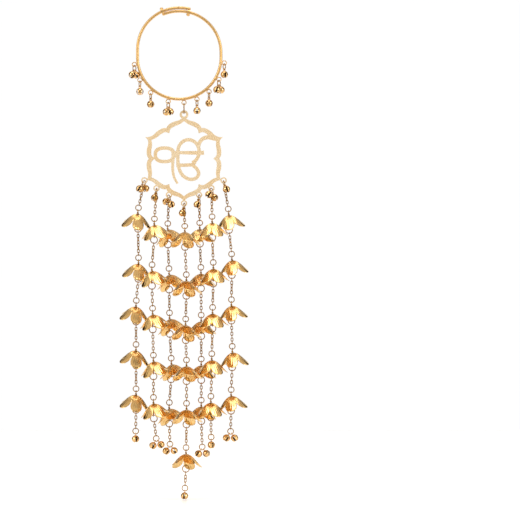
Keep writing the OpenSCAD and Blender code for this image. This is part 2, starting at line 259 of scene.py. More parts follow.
@dataclass(frozen=True)
class MetalFinish:
    """One metal surface. The metal gives its colour, and its polish says how clear a mirror it is."""

    name: str
    colour: str
    deep_colour: str
    roughness: float
    # Size of the cloudy change in colour and gloss that handling and plating leave
    cloud_mm: float = 6.0
    cloud_gloss: float = 0.06
    # Spacing and depth of the marks that making leaves, drawn coarser than real ones so that they show
    mark_mm: float = 0.5
    mark_depth_mm: float = 0.004

    def material(self) -> bpy.types.Material:
        """The finish as a material, made once and used again."""
        made = bpy.data.materials.get(self.name)
        if made is not None:
            return made
        made = bpy.data.materials.new(self.name)
        made.use_nodes = True
        tree = made.node_tree
        tree.nodes.clear()
        place = add_node(tree, "ShaderNodeTexCoord").outputs["Object"]
        cloud = add_node(
            tree, "ShaderNodeTexNoise", Vector=place, Scale=1 / (self.cloud_mm * MM), Detail=3.0,
            Roughness=0.6,
        ).outputs["Fac"]
        tint = add_node(
            tree, "ShaderNodeMix", {"data_type": "RGBA"}, in0=cloud,
            in6=linear(self.colour), in7=linear(self.deep_colour),
        )
        gloss = add_node(
            tree, "ShaderNodeMapRange", Value=cloud, From_Min=NOISE_SPAN[0], From_Max=NOISE_SPAN[1],
            To_Min=max(self.roughness - self.cloud_gloss, LEAST_ROUGHNESS),
            To_Max=self.roughness + self.cloud_gloss,
        )
        marks = add_node(
            tree, "ShaderNodeTexNoise", Vector=place, Scale=1 / (self.mark_mm * MM), Detail=2.0
        ).outputs["Fac"]
        bump = add_node(tree, "ShaderNodeBump", Height=marks, Strength=1.0, Distance=self.mark_depth_mm * MM)
        metal = add_node(
            tree, "ShaderNodeBsdfPrincipled", Metallic=1.0, Base_Color=tint.outputs[2],
            Roughness=gloss.outputs["Result"], Normal=bump.outputs["Normal"],
        )
        add_node(tree, "ShaderNodeOutputMaterial", Surface=metal.outputs["BSDF"])
        return made


# Drawn round wire, lightly polished and plated: a soft, even sheen with faint changes along the wire
BANGLE_GOLD = MetalFinish(
    "polished_gold_bangle_wire", "#f4cd8e", "#dfb06c", 0.42, cloud_mm=9.0, cloud_gloss=0.05,
    mark_mm=5.0, mark_depth_mm=0.01,
)
# Sheet cut out, sand-blasted and plated: an even, pale satin with no clear reflections
PLAQUE_GOLD = MetalFinish(
    "satin_gold_plaque_sheet", "#f8ead0", "#ead1a4", 0.74,
    cloud_mm=16.0, cloud_gloss=0.05, mark_mm=0.25, mark_depth_mm=0.001,
)
# Thin sheet pressed in a ribbed die and plated: glossy, with slight waves between the ribs
PETAL_GOLD = MetalFinish(
    "pressed_gold_petal_sheet", "#f8d594", "#efc179", 0.12,
    cloud_mm=5.0, cloud_gloss=0.05, mark_mm=1.6, mark_depth_mm=0.03,
)
# Fine drawn wire for rings, pins and links: plated thinly, so the brass under it shows through darker
RING_GOLD = MetalFinish("pale_gold_fine_wire", "#c0903c", "#8f6626", 0.3, cloud_mm=2.0, mark_mm=0.4)
# Shells stamped in two halves and plated: a warm mirror with small dents
BELL_GOLD = MetalFinish(
    "stamped_gold_bell_shell", "#f3cf94", "#d8a566", 0.11,
    cloud_mm=2.5, cloud_gloss=0.04, mark_mm=1.6, mark_depth_mm=0.04,
)
# The shell's unplated inside, painted dark as the shade within the bell, so that the slits look deep
SHELL_INSIDE_SHADE = MetalFinish(
    "painted_shade_shell_inside", "#4a3524", "#2c2018", 0.5, cloud_mm=1.0, mark_mm=0.5
)
# The loose pellet, unplated steel that has turned brown
PELLET_STEEL = MetalFinish("tarnished_steel_pellet", "#5b4637", "#3a2a20", 0.35, cloud_mm=1.0, mark_mm=0.5)


@dataclass(frozen=True)
class PaleFloor:
    """A white gloss-painted studio floor: bright, with a blurred mirror image at a low angle."""

    name: str = "white_painted_floor"
    colour: str = "#f7f6f4"
    roughness: float = 0.32
    glow: float = 0.2
    # The paint's fine unevenness
    grain_mm: float = 1.5
    grain_depth_mm: float = 0.01
    grain_strength: float = 0.3

    def material(self) -> bpy.types.Material:
        """The floor's finish as a material."""
        made = bpy.data.materials.new(self.name)
        made.use_nodes = True
        tree = made.node_tree
        tree.nodes.clear()
        place = add_node(tree, "ShaderNodeTexCoord").outputs["Object"]
        grain = add_node(tree, "ShaderNodeTexNoise", Vector=place, Scale=1 / (self.grain_mm * MM))
        bump = add_node(
            tree, "ShaderNodeBump", Height=grain.outputs["Fac"], Strength=self.grain_strength,
            Distance=self.grain_depth_mm * MM,
        )
        paint = add_node(
            tree, "ShaderNodeBsdfPrincipled", Base_Color=linear(self.colour), Roughness=self.roughness,
            Normal=bump.outputs["Normal"], Emission_Color=linear("#ffffff"), Emission_Strength=self.glow,
        )
        add_node(tree, "ShaderNodeOutputMaterial", Surface=paint.outputs["BSDF"])
        return made


# Reading the frame


def loose_solids(node: str) -> list[np.ndarray]:
    """Splits a CAD node's mesh into its loose solids.

    Args:
        node: the node's name.

    Returns:
        The vertices of each solid, in metres, from the highest solid to the lowest.
    """
    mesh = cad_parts[node].data
    points = np.array([v.co for v in mesh.vertices], float)
    _, same = np.unique(np.round(points / SEAM_REACH).astype(np.int64), axis=0, return_inverse=True)
    same = same.reshape(-1)
    parent = list(range(int(same.max()) + 1))

    def root(i: int) -> int:
        """The vertex that stands for the one given."""
        while parent[i] != i:
            parent[i] = parent[parent[i]]
            i = parent[i]
        return i

    for edge in mesh.edges:
        a, b = root(int(same[edge.vertices[0]])), root(int(same[edge.vertices[1]]))
        parent[a] = b
    roots = np.array([root(int(i)) for i in same])
    solids = [points[roots == r] for r in np.unique(roots)]
    return sorted(solids, key=lambda solid: -solid[:, 2].max())


def main_axes(points: np.ndarray) -> tuple[np.ndarray, np.ndarray]:
    """Finds the directions in which a solid is widest and thinnest.

    Args:
        points: the solid's vertices.

    Returns:
        The three axes as rows, the thinnest first, and the solid's extent along each.
    """
    spread = points - points.mean(0)
    _, axes = np.linalg.eigh(spread.T @ spread)
    axes = axes.T
    along = points @ axes.T
    extents = along.max(0) - along.min(0)
    order = np.argsort(extents)
    return axes[order], extents[order]


@dataclass
class ChainPlace:
    """The two ends of the space that a chain fills."""

    top: np.ndarray
    bottom: np.ndarray


# Sub-assemblies


@dataclass
class Studio:
    """The camera, the pale floor and the soft light round the hanging ornament. Lengths are in mm."""

    # The photograph's frame, in the ornament's own millimetres
    view_w: float = 390.0
    view_x: float = 57.0
    view_z: float = -185.3
    distance: float = 3000.0
    sensor: float = 36.0
    # How far the camera sees, and how far the floor lies below the lowest bell
    sight: float = 100000.0
    floor_gap: float = 0.4
    # The white sheet ends a little in front of the ornament, below the picture
    floor_front: float = -300.0
    floor_back: float = 1200.0
    floor_half: float = 1500.0
    box_side: float = 900.0
    box_power: float = 14.0
    # Each soft box's name, its place from the ornament's middle, and its width as a share of box_side
    boxes: tuple[tuple[str, tuple[float, float, float], float], ...] = (
        ("key_left", (-1500.0, -1300.0, 700.0), 1.0),
        ("key_right", (1500.0, -1200.0, 500.0), 1.0),
        ("top", (0.0, -300.0, 1900.0), 1.3),
    )
    # Brightness of the room by the angle from the backdrop: the backdrop, black flags beside it, soft
    # boxes at the sides, dark gaps in front of them, the wall behind the camera, and the camera
    room: tuple[tuple[float, str], ...] = (
        (0.0, "#ffffff"), (34.0, "#ffffff"), (40.0, "#14110e"), (76.0, "#14110e"), (82.0, "#e8e4de"),
        (116.0, "#e8e4de"), (124.0, "#3c342c"), (134.0, "#3c342c"), (142.0, "#c4c0ba"), (160.0, "#c4c0ba"),
        (165.0, "#6a655f"), (171.0, "#6a655f"), (172.5, "#15120f"),
    )
    room_strength: float = 1.15
    # The ceiling, and the sines of the angles above level at which it begins and is all that is seen
    ceiling: tuple[float, float, float] = (0.62, 0.56, 0.5)
    ceiling_from: float = 0.62
    ceiling_full: float = 0.8
    # The backdrop as the camera sees it, which the room's strength makes just white
    backdrop: float = 0.875

    def place_camera(self) -> None:
        """Sets the camera level, in front, at the photograph's distance and height."""
        data = bpy.data.cameras.new("photo_camera")
        data.sensor_width = self.sensor
        data.lens = self.sensor * self.distance / self.view_w
        data.clip_end = self.sight * MM
        camera = bpy.data.objects.new("photo_camera", data)
        camera.location = (self.view_x * MM, -self.distance * MM, self.view_z * MM)
        camera.rotation_euler = (math.radians(90), 0, 0)
        bpy.context.scene.collection.objects.link(camera)
        bpy.context.scene.camera = camera

    def lay_floor(self) -> None:
        """Lays the floor just below the lowest bell."""
        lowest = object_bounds()[0][2] - self.floor_gap * MM
        half = self.floor_half * MM
        draft = MeshDraft()
        edges = (self.floor_front * MM, self.floor_back * MM)
        draft.add_grid(np.array([[[x, y, lowest] for x in (-half, half)] for y in edges]))
        floor = draft.to_object("floor", PaleFloor().material())
        floor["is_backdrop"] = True

    def hang_box(self, name: str, at: tuple[float, float, float], share: float) -> None:
        """Hangs one square soft box that faces the ornament's middle.

        Args:
            name: the light's name.
            at: its place in mm from the ornament's middle.
            share: its width as a share of box_side.
        """
        data = bpy.data.lights.new(name, "AREA")
        data.shape = "SQUARE"
        data.size = share * self.box_side * MM
        data.energy = self.box_power
        light = bpy.data.objects.new(name, data)
        middle = Vector((0, 0, self.view_z * MM))
        light.location = middle + Vector(at) * MM
        light.rotation_euler = (middle - light.location).to_track_quat("-Z", "Y").to_euler()
        bpy.context.scene.collection.objects.link(light)

    def light_room(self) -> None:
        """Surrounds the ornament with the soft boxes, flags and walls of a product studio."""
        world = bpy.data.worlds.new("white_studio")
        bpy.context.scene.world = world
        world.use_nodes = True
        tree = world.node_tree
        tree.nodes.clear()
        way = add_node(tree, "ShaderNodeTexCoord").outputs["Generated"]
        parts = add_node(tree, "ShaderNodeSeparateXYZ", Vector=way)
        angle = add_node(tree, "ShaderNodeMath", {"operation": "ARCCOSINE"}, in0=parts.outputs["Y"])
        share = add_node(tree, "ShaderNodeMath", {"operation": "DIVIDE"}, in0=angle.outputs[0], in1=math.pi)
        ramp = add_node(tree, "ShaderNodeValToRGB", Fac=share.outputs[0])
        stops = ramp.color_ramp.elements
        for i, (degrees, colour) in enumerate(self.room):
            stop = stops[i] if i < len(stops) else stops.new(degrees / 180)
            stop.position = degrees / 180
            stop.color = linear(colour)
        above = add_node(
            tree, "ShaderNodeMapRange", {"interpolation_type": "SMOOTHSTEP"}, Value=parts.outputs["Z"],
            From_Min=self.ceiling_from, From_Max=self.ceiling_full,
        )
        room = add_node(
            tree, "ShaderNodeMix", {"data_type": "RGBA"}, in0=above.outputs[0],
            in6=ramp.outputs["Color"], in7=(*self.ceiling, 1.0),
        )
        seen = add_node(tree, "ShaderNodeLightPath").outputs["Is Camera Ray"]
        colour = add_node(
            tree, "ShaderNodeMix", {"data_type": "RGBA"}, in0=seen, in6=room.outputs[2],
            in7=(self.backdrop, self.backdrop, self.backdrop, 1.0),
        )
        light = add_node(tree, "ShaderNodeBackground", Color=colour.outputs[2], Strength=self.room_strength)
        add_node(tree, "ShaderNodeOutputWorld", Surface=light.outputs["Background"])
        for name, at, share in self.boxes:
            self.hang_box(name, at, share)
        bpy.context.scene.view_settings.view_transform = "Standard"


@dataclass
class BangleAndPlaque:
    """The bangle, the main link and the plaque, whose solids need only their finish, and the plaque soft
    edges too.
    """

    edge_mm: float = 0.12
    finishes: dict[str, MetalFinish] = field(
        default_factory=lambda: {"bangle": BANGLE_GOLD, "main_link": RING_GOLD, "plaque": PLAQUE_GOLD}
    )

    def soften(self, obj: bpy.types.Object) -> None:
        """Rounds the sheet's cut edges, as tumbling leaves them."""
        bevel = obj.modifiers.new("tumbled_edge", "BEVEL")
        bevel.width = self.edge_mm * MM
        bevel.segments = 2
        bevel.limit_method = "ANGLE"
        bevel.angle_limit = SMOOTH_LIMIT
        bevel.harden_normals = False

    def dress(self) -> None:
        """Gives each solid its finish."""
        for name, finish in self.finishes.items():
            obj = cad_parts[name]
            obj.data.materials.clear()
            obj.data.materials.append(finish.material())
            if name == "plaque":
                self.soften(obj)
            log.info("dressed %s", name)


@dataclass
class Flower:
    """One pressed flower of five spoon-shaped petals, hung by its middle. Lengths are in mm."""

    strand: int
    row: int
    # The flower's top in metres, and its leans and turn in degrees
    top: np.ndarray
    lean_front: float
    lean_side: float
    turn: float
    tip_r: float = 11.85
    height: float = 9.4
    sheet: float = 0.42
    # How far the sheet's rounded edge stands out, as a share of its thickness
    edge_roll: float = 0.21
    petals: int = 5
    # The round end of a petal, and the angle to each side over which the petal's edge follows it
    end_r: float = 4.3
    end_arc: float = 107.0
    # How far the notches between the petals, the flat middle and the pin's hole reach
    core_r: float = 5.2
    flat_r: float = 2.5
    hole_r: float = 0.55
    # From the middle to the tips, the wall falls as a cosine wave does over this angle
    flare: float = 150.0
    # The pressed ribs of a petal: their number and depth, the height of their wave that is level with
    # the sheet, how fast they rise from the hole and fade towards the edge, and the share left there
    ribs: int = 9
    rib_depth: float = 0.26
    rib_level: float = 0.6
    rib_rise: float = 3.0
    rib_fade: float = 3.2
    rib_left: float = 0.12
    # How far a petal's middle is pressed up, and how far its end is bent by hand at most
    arch: float = 0.55
    bend: float = 0.45
    # The higher this is, the nearer to the seams the bend fades out
    seam_power: int = 8
    # The mesh's steps, how much closer its rows lie towards the edge, and the outline's fine points
    # for each step across
    across: int = 54
    along: int = 12
    row_power: float = 0.9
    fine: int = 4

    def outline(self) -> np.ndarray:
        """The edge of one petal from notch to notch, round its end, in plan."""
        half_angle = math.pi / self.petals
        end_middle = self.tip_r - self.end_r
        notch = self.core_r * np.array([math.cos(half_angle), math.sin(half_angle)])
        reach = math.radians(self.end_arc)
        arc = np.linspace(-reach, reach, self.fine * self.across)
        edge = np.stack([end_middle + self.end_r * np.cos(arc), self.end_r * np.sin(arc)], 1)
        line = np.concatenate([[notch * [1, -1]], edge, [notch]])
        run = np.concatenate([[0], np.cumsum(np.linalg.norm(np.diff(line, axis=0), axis=1))])
        even = np.linspace(0, run[-1], self.across + 1)
        return np.stack([np.interp(even, run, line[:, k]) for k in (0, 1)], 1)

    def drop_at(self, r: np.ndarray) -> np.ndarray:
        """How far the flared wall lies below the flower's top at a distance from its middle."""
        flare = math.radians(self.flare)
        return self.height * (1 - np.cos(flare * r / self.tip_r)) / (1 - math.cos(flare))

    def petal_grid(self, petal_bend: float) -> np.ndarray:
        """The upper face of one petal.

        Args:
            petal_bend: how far this petal's end is bent down.

        Returns:
            The points, in rows from the hole to the edge.
        """
        edge = self.outline()
        angles = np.linspace(-1, 1, self.across + 1)
        start = self.hole_r * np.stack(
            [np.cos(angles * math.pi / self.petals), np.sin(angles * math.pi / self.petals)], 1
        )
        share = np.linspace(0, 1, self.along + 1)[:, None, None] ** self.row_power
        plan = start[None] * (1 - share) + edge[None] * share
        share = share[:, :, 0]
        r = np.linalg.norm(plan, axis=2)
        out = np.clip((r - self.flat_r) / (self.tip_r - self.flat_r), 0, 1)
        side = np.broadcast_to(angles, r.shape)
        # The bend fades out at the seams, so that neighbouring petals meet there
        own_bend = petal_bend * out**2 * (1 - side**self.seam_power)
        curl = self.arch * (1 - side**2) * np.sin(math.pi * out) - own_bend
        smooth_z = -self.drop_at(r) + curl
        fade = np.clip(share * self.rib_rise, 0, 1) * np.clip((1 - share) * self.rib_fade, self.rib_left, 1)
        ridge = np.abs(np.cos(math.pi * self.ribs * (side + 1) / 2)) - self.rib_level
        ribbed_z = smooth_z + self.rib_depth * ridge * fade
        return np.dstack([plan, ribbed_z])

    def build(self) -> bpy.types.Object:
        """Presses the flower's sheet and hangs it where the solid flower hangs.

        Returns:
            The flower, on the drop's body, in place of its solid.
        """
        draft = MeshDraft()
        # Each flower is bent in its own way, the same in every run
        chance = np.random.default_rng(10 * self.row + self.strand)
        edge_out = self.sheet * self.edge_roll
        for i in range(self.petals):
            upper = self.petal_grid(self.bend * chance.uniform(-1, 1))
            down = np.array([0, 0, -self.sheet])
            lower = upper + down
            rim = (upper[-1] + lower[-1]) / 2
            outward = upper[-1, :, :2] - upper[-2, :, :2]
            outward = outward / np.linalg.norm(outward, axis=1)[:, None]
            # In the notches two petals share one rim point, straight out from the middle
            for seam in (0, -1):
                outward[seam] = unit(upper[-1, seam, :2])
            rim[:, :2] += edge_out * outward
            grid = np.concatenate([upper, rim[None], lower[::-1]])
            turn = 2 * math.pi * i / self.petals
            c, s = math.cos(turn), math.sin(turn)
            grid = grid @ np.array([[c, s, 0], [-s, c, 0], [0, 0, 1]])
            draft.add_grid(grid * MM, close_rows=True)
        place = (
            Matrix.Translation(Vector(self.top))
            @ Matrix.Rotation(math.radians(self.lean_side), 4, "Y")
            @ Matrix.Rotation(math.radians(self.lean_front), 4, "X")
            @ Matrix.Rotation(math.radians(self.turn), 4, "Z")
        )
        node = f"flower_{self.row}_{self.strand}"
        obj = draft.to_object(f"petals_{self.row}_{self.strand}", PETAL_GOLD.material(), place)
        join_seams(obj)
        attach(obj, "drop")
        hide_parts(node)
        return obj


@dataclass
class JumpRing:
    """A jump ring, closed but for the fine gap where its ends meet. Wire and gap are in mm."""

    # The ring's middle and outer size in metres, and the way that it faces
    middle: np.ndarray
    normal: np.ndarray
    outer_d: float
    wire: float = RING_WIRE
    joint_gap: float = 0.12
    steps: int = 41

    @classmethod
    def from_solid(cls, points: np.ndarray) -> "JumpRing":
        """Reads where a ring hangs.

        Args:
            points: the vertices of its solid, in metres.

        Returns:
            The ring, as the solid hangs.
        """
        axes, extents = main_axes(points)
        own = points @ axes.T
        middle = (own.max(0) + own.min(0)) / 2 @ axes
        return cls(middle, axes[0], float(extents[2]))

    def add_to(self, draft: MeshDraft, turn: float) -> None:
        """Adds the ring to a draft.

        Args:
            draft: the mesh that takes it.
            turn: where its gap is, as an angle.
        """
        radius = self.outer_d / 2 - self.wire / 2 * MM
        gap = self.joint_gap * MM / radius
        turns = turn + np.linspace(gap / 2, 2 * math.pi - gap / 2, self.steps)
        first = square_to(self.normal)
        second = np.cross(self.normal, first)
        path = self.middle + radius * (np.outer(np.cos(turns), first) + np.outer(np.sin(turns), second))
        draft.add_wire(path, self.wire / 2 * MM)


@dataclass
class Chain:
    """A length of fine cable chain between two jump rings. Lengths are in mm."""

    # The ends of the space that it fills, in metres, and the rings that it hangs between
    top: np.ndarray
    bottom: np.ndarray
    top_ring: JumpRing
    bottom_ring: JumpRing
    wire: float = 0.6
    link_w: float = 2.2
    # The pitch that was measured on the photograph's chains, which each chain's length then rounds
    pitch: float = 2.35
    # The space ends this far from the ring's wire, and the last link has this much play on the ring
    end_gap: float = 0.15
    play: float = 0.02
    # Points round a link, and sides of its wire
    bends: int = 16
    sides: int = 7

    def link_path(self, middle: np.ndarray, way: np.ndarray, normal: np.ndarray, length: float) -> np.ndarray:
        """The middle line of one oval link.

        Args:
            middle: the link's middle, in metres.
            way: the direction in which it is long.
            normal: the direction that it faces.
            length: its outer length in mm.

        Returns:
            The points of its closed line, in metres.
        """
        side = np.cross(normal, way)
        bend_r = (self.link_w - self.wire) / 2
        straight = max(length - self.wire - 2 * bend_r, 0.0) / 2
        turns = np.linspace(0, 2 * math.pi, self.bends, endpoint=False) + math.pi / self.bends
        along = bend_r * np.sin(turns) + straight * np.sign(np.sin(turns))
        across = bend_r * np.cos(turns)
        return middle + MM * (np.outer(along, way) + np.outer(across, side))

    def add_to(self, draft: MeshDraft) -> int:
        """Adds the chain's links to a draft.

        Args:
            draft: the strand's mesh.

        Returns:
            How many links the chain has.
        """
        way = unit(self.bottom - self.top)
        reach = (self.end_gap + self.top_ring.wire + self.play + self.wire) * MM
        start = self.top - way * reach
        span = float(np.linalg.norm(self.bottom - self.top) + 2 * reach) / MM
        count = max(round((span - 2 * self.wire) / self.pitch), 1)
        pitch = (span - 2 * self.wire) / count
        # Each end link faces along its ring's plane, and the links between turn by about a quarter each
        first = unit(np.cross(way, self.top_ring.normal))
        last = unit(np.cross(way, self.bottom_ring.normal))
        between = math.atan2(float(np.dot(np.cross(first, last), way)), float(np.dot(first, last)))
        steps = max(count - 1, 1)
        quarter_turns = math.pi / 2 * steps
        twist = between + math.pi * round((quarter_turns - between) / math.pi)
        third = np.cross(way, first)
        for i in range(count):
            angle = twist * i / steps
            normal = math.cos(angle) * first + math.sin(angle) * third
            middle = start + way * (self.wire + pitch * (i + 0.5)) * MM
            path = self.link_path(middle, way, normal, pitch + 2 * self.wire)
            draft.add_wire(path, self.wire / 2 * MM, closed=True, sides=self.sides)
        return count


@dataclass
class Strand:
    """One strand: jump rings, eye pins and chains, in place of their plain solids. Lengths are in mm."""

    number: int
    wire: float = RING_WIRE
    chain_d: float = 2.0
    # How near a solid's size comes to a ring's or chain's, and how deep a chain's flat end is read
    size_reach: float = 0.1
    end_reach: float = 0.02
    # The eye pin: its height, the size of its eyes, the gap in each in degrees, and the height of the
    # upper eye's middle over the flower's top
    pin_h: float = 13.5
    eye_d: float = 2.8
    eye_gap: float = 12.0
    eye_steps: int = 33
    upper_eye: float = 2.4
    # The bead under the flower: its size and height, and where its rows end in degrees
    bead_d: float = 2.4
    bead_z: float = -2.2
    bead_last_row: float = 84.0
    # The thin wire that is wrapped round the stem over the flower
    wrap_wire: float = 0.42
    wrap_turns: float = 2.6
    wrap_low: float = 0.25
    wrap_steps: int = 50
    wrap_sides: int = 6
    rings: list[JumpRing] = field(default_factory=list)
    chains: list[ChainPlace] = field(default_factory=list)
    pin_tops: list[np.ndarray] = field(default_factory=list)

    @property
    def node(self) -> str:
        """The name of the strand's CAD node."""
        return f"strand_{self.number}"

    def read_frame(self) -> None:
        """Finds the strand's rings, pins and chains among the solids of its node."""
        for points in loose_solids(self.node):
            axes, extents = main_axes(points)
            if abs(extents[0] / MM - self.wire) < self.size_reach:
                self.rings.append(JumpRing.from_solid(points))
            elif abs(extents[1] / MM - self.chain_d) < self.size_reach:
                along = points @ axes[2]
                reach = self.end_reach * MM
                ends = [points[np.abs(along - e) < reach].mean(0) for e in (along.min(), along.max())]
                top, bottom = sorted(ends, key=lambda p: -p[2])
                self.chains.append(ChainPlace(top, bottom))
            else:
                low, high = points.min(0), points.max(0)
                middle = (low + high) / 2
                drop = (self.eye_d / 2 + self.upper_eye) * MM
                self.pin_tops.append(np.array([middle[0], middle[1], high[2] - drop]))
        self.pin_tops.sort(key=lambda p: -p[2])

    def ring_near(self, point: np.ndarray) -> JumpRing:
        """The jump ring that is nearest to a point."""
        return min(self.rings, key=lambda ring: float(np.linalg.norm(ring.middle - point)))

    def add_pin(self, draft: MeshDraft, top: np.ndarray) -> None:
        """Adds the eye pin of one flower: two turned eyes, the stem, its bead and a wire wrap.

        Args:
            draft: the strand's mesh.
            top: the flower's top, in metres.
        """
        eye_r = (self.eye_d - self.wire) / 2
        lower_eye = self.upper_eye - (self.pin_h - self.eye_d)
        wire_r = self.wire / 2 * MM
        ends = (-90 + self.eye_gap / 2, 270 - self.eye_gap / 2)
        for z, up in ((self.upper_eye, 1), (lower_eye, -1)):
            turns = np.radians(np.linspace(*ends, self.eye_steps)) * up
            circle = np.stack([0 * turns, eye_r * np.cos(turns), eye_r * np.sin(turns) + z], 1)
            draft.add_wire(top + circle * MM, wire_r)
        stem = np.array([[0, 0, self.upper_eye - eye_r], [0, 0, 0], [0, 0, lower_eye + eye_r]])
        draft.add_wire(top + stem * MM, wire_r)
        draft.add_ball(top + np.array([0, 0, self.bead_z]) * MM, self.bead_d / 2 * MM, self.bead_last_row)
        turns = np.linspace(0, 2 * math.pi * self.wrap_turns, self.wrap_steps)
        wrap_r = (self.wire + self.wrap_wire) / 2
        rise = self.wrap_low + self.wrap_wire * turns / (2 * math.pi)
        wrap = np.stack([wrap_r * np.cos(turns), wrap_r * np.sin(turns), rise], 1)
        draft.add_wire(top + wrap * MM, self.wrap_wire / 2 * MM, sides=self.wrap_sides)

    def build(self) -> None:
        """Makes the strand's wirework on the drop's body."""
        self.read_frame()
        draft = MeshDraft()
        for i, ring in enumerate(self.rings):
            ring.add_to(draft, GOLDEN_TURN * (i + self.number))
        for top in self.pin_tops:
            self.add_pin(draft, top)
        links = 0
        for chain in self.chains:
            rings = (self.ring_near(chain.top), self.ring_near(chain.bottom))
            links += Chain(chain.top, chain.bottom, *rings).add_to(draft)
        obj = draft.to_object(f"wirework_{self.number}", RING_GOLD.material())
        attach(obj, "drop")
        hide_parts(self.node)
        parts = (len(self.rings), len(self.pin_tops), links)
        log.info("made %s: %d rings, %d pins and %d links", obj.name, *parts)


class BellSet(Enum):
    """The groups of bells, each with the body that carries it."""

    BANGLE = "bangle"
    DROP = "drop"


@dataclass
class Bell:
    """One slit bell with its loop and pellet. Lengths are in mm."""

    # The bell's middle in metres, the ways to its loop and across the loop, and the way from its axis
    # to the tip of one of the four panels between the slits
    middle: np.ndarray
    up: np.ndarray
    loop_normal: np.ndarray
    panel_way: np.ndarray
    shell_r: float = 2.8
    wall: float = 0.45
    edge: float = 0.1
    slit: float = 1.3
    # The faint bulge where the shell's halves meet, and half its width
    seam: float = 0.05
    seam_w: float = 0.28
    # The loop, and how far its middle lies above the bell's
    loop_d: float = 2.3
    loop_wire: float = 0.6
    loop_steps: int = 28
    arm: float = 3.65
    # The pellet, its gap over the shell's floor, and where its rows end in degrees
    pellet_r: float = 1.15
    pellet_gap: float = 0.05
    pellet_last_row: float = 86.0
    # The shell's steps between two slits, and its rows beside the slits and above them, in degrees
    # above its middle
    steps: int = 8
    slit_rows: tuple[float, ...] = (0, 4, 9, 16, 25, 35)
    dome_rows: tuple[float, ...] = (35, 45, 55, 65, 75, 84)

    # How far the loop lifts the middle of a solid's box, and how near to the shell its vertices are
    # looked for in each round of the fit
    box_lift: ClassVar[float] = 0.8
    fit_reaches: ClassVar[tuple[float, ...]] = (1.2, 0.8, 0.5, 0.3, 0.2, 0.1, 0.05, 0.05, 0.05, 0.05)
    # The loop's vertices lie beyond the first share of the shell's radius, and those of the panels'
    # tips below the second. A vertex this close to the shell's radius is on the shell
    loop_share: ClassVar[float] = 1.12
    tip_share: ClassVar[float] = 0.93
    on_shell: ClassVar[float] = 0.03

    @classmethod
    def from_solid(cls, points: np.ndarray) -> "Bell":
        """Fits a bell to the vertices of its solid.

        Args:
            points: the solid's vertices, in metres.

        Returns:
            The bell, as the solid hangs.
        """
        r = cls.shell_r * MM
        middle = (points.min(0) + points.max(0)) / 2 - np.array([0, 0, cls.box_lift * MM])
        for reach in cls.fit_reaches:
            away = points - middle
            far = np.linalg.norm(away, axis=1)
            near = np.abs(far - r) < reach * MM
            ways = away[near] / far[near][:, None]
            step, *_ = np.linalg.lstsq(ways, far[near] - r, rcond=None)
            middle = middle + step
        away = points - middle
        far = np.linalg.norm(away, axis=1)
        loop = away[far > cls.loop_share * r]
        up = unit(loop.mean(0))
        spread = loop - loop.mean(0)
        loop_normal = np.linalg.eigh(spread.T @ spread)[1][:, 0]
        loop_normal = unit(loop_normal - up * np.dot(loop_normal, up))
        shell = away[np.abs(far - r) < cls.on_shell * MM]
        tips = shell[shell @ up < -cls.tip_share * r]
        tip = tips[np.argmin(tips @ up)]
        panel_way = unit(tip - up * np.dot(tip, up))
        return cls(middle, up, loop_normal, panel_way)

    def base(self, quarter: int) -> np.ndarray:
        """One panel of the shell between two slits, from its tip at the bottom to the bell's middle.

        Args:
            quarter: which of the four, from 0 to 3.

        Returns:
            The points, rows x columns x 3, in mm.
        """
        half_slit = self.slit / 2
        edge = math.asin(half_slit / self.shell_r)
        longs = quarter * math.pi / 2 + np.linspace(edge, math.pi / 2 - edge, self.steps + 1)
        ends = self.shell_r * np.stack([np.cos(longs), np.sin(longs)], 1)
        tip_at = quarter * math.pi / 2 + math.pi / 4
        tip = half_slit * math.sqrt(2) * np.array([math.cos(tip_at), math.sin(tip_at)])
        grid = []
        for share in np.sin(np.linspace(0, math.pi / 2, self.steps + 1)):
            plan = tip + (ends - tip) * share
            z = -np.sqrt(np.maximum(self.shell_r**2 - (plan**2).sum(1), 0))
            grid.append(np.column_stack([plan, z]))
        return np.array(grid)

    def band(self, quarter: int) -> np.ndarray:
        """The same panel from the bell's middle up to where the slits end.

        Args:
            quarter: which of the four, from 0 to 3.

        Returns:
            The points, rows x columns x 3, in mm.
        """
        grid = []
        for high in np.radians(self.slit_rows):
            ring_r = self.shell_r * math.cos(high)
            edge = math.asin(self.slit / 2 / ring_r)
            longs = quarter * math.pi / 2 + np.linspace(edge, math.pi / 2 - edge, self.steps + 1)
            z = np.full_like(longs, self.shell_r * math.sin(high))
            grid.append(np.column_stack([ring_r * np.cos(longs), ring_r * np.sin(longs), z]))
        return np.array(grid)

    def dome(self, rim: np.ndarray) -> np.ndarray:
        """The closed shell above the slits.

        Args:
            rim: the upper ends of the four panels, round the bell.

        Returns:
            The points, rows x columns x 3, in mm.
        """
        longs = np.arctan2(rim[:, 1], rim[:, 0])
        highs = np.radians(self.dome_rows)[:, None]
        level = np.sin(highs) * np.ones_like(longs)
        return self.shell_r * np.dstack([np.cos(highs) * np.cos(longs), np.cos(highs) * np.sin(longs), level])

    def shell_draft(self) -> MeshDraft:
        """The outer face of the shell, in the bell's own frame, with its loop at the top."""
        draft = MeshDraft()
        panel_ends = []
        for quarter in range(4):
            draft.add_grid(self.base(quarter))
            panel = self.band(quarter)
            draft.add_grid(panel)
            panel_ends.append(panel[-1])
        dome = self.dome(np.concatenate(panel_ends))
        rows, columns = dome.shape[:2]
        last_row = draft.add_grid(dome, close_columns=True) + (rows - 1) * columns
        draft.add_face([last_row + k for k in range(columns)])
        points = np.concatenate(draft.points)
        bulge = 1 + self.seam / self.shell_r * np.exp(-((points[:, 2] / self.seam_w) ** 2))
        draft.points = [points * bulge[:, None] * MM]
        return draft

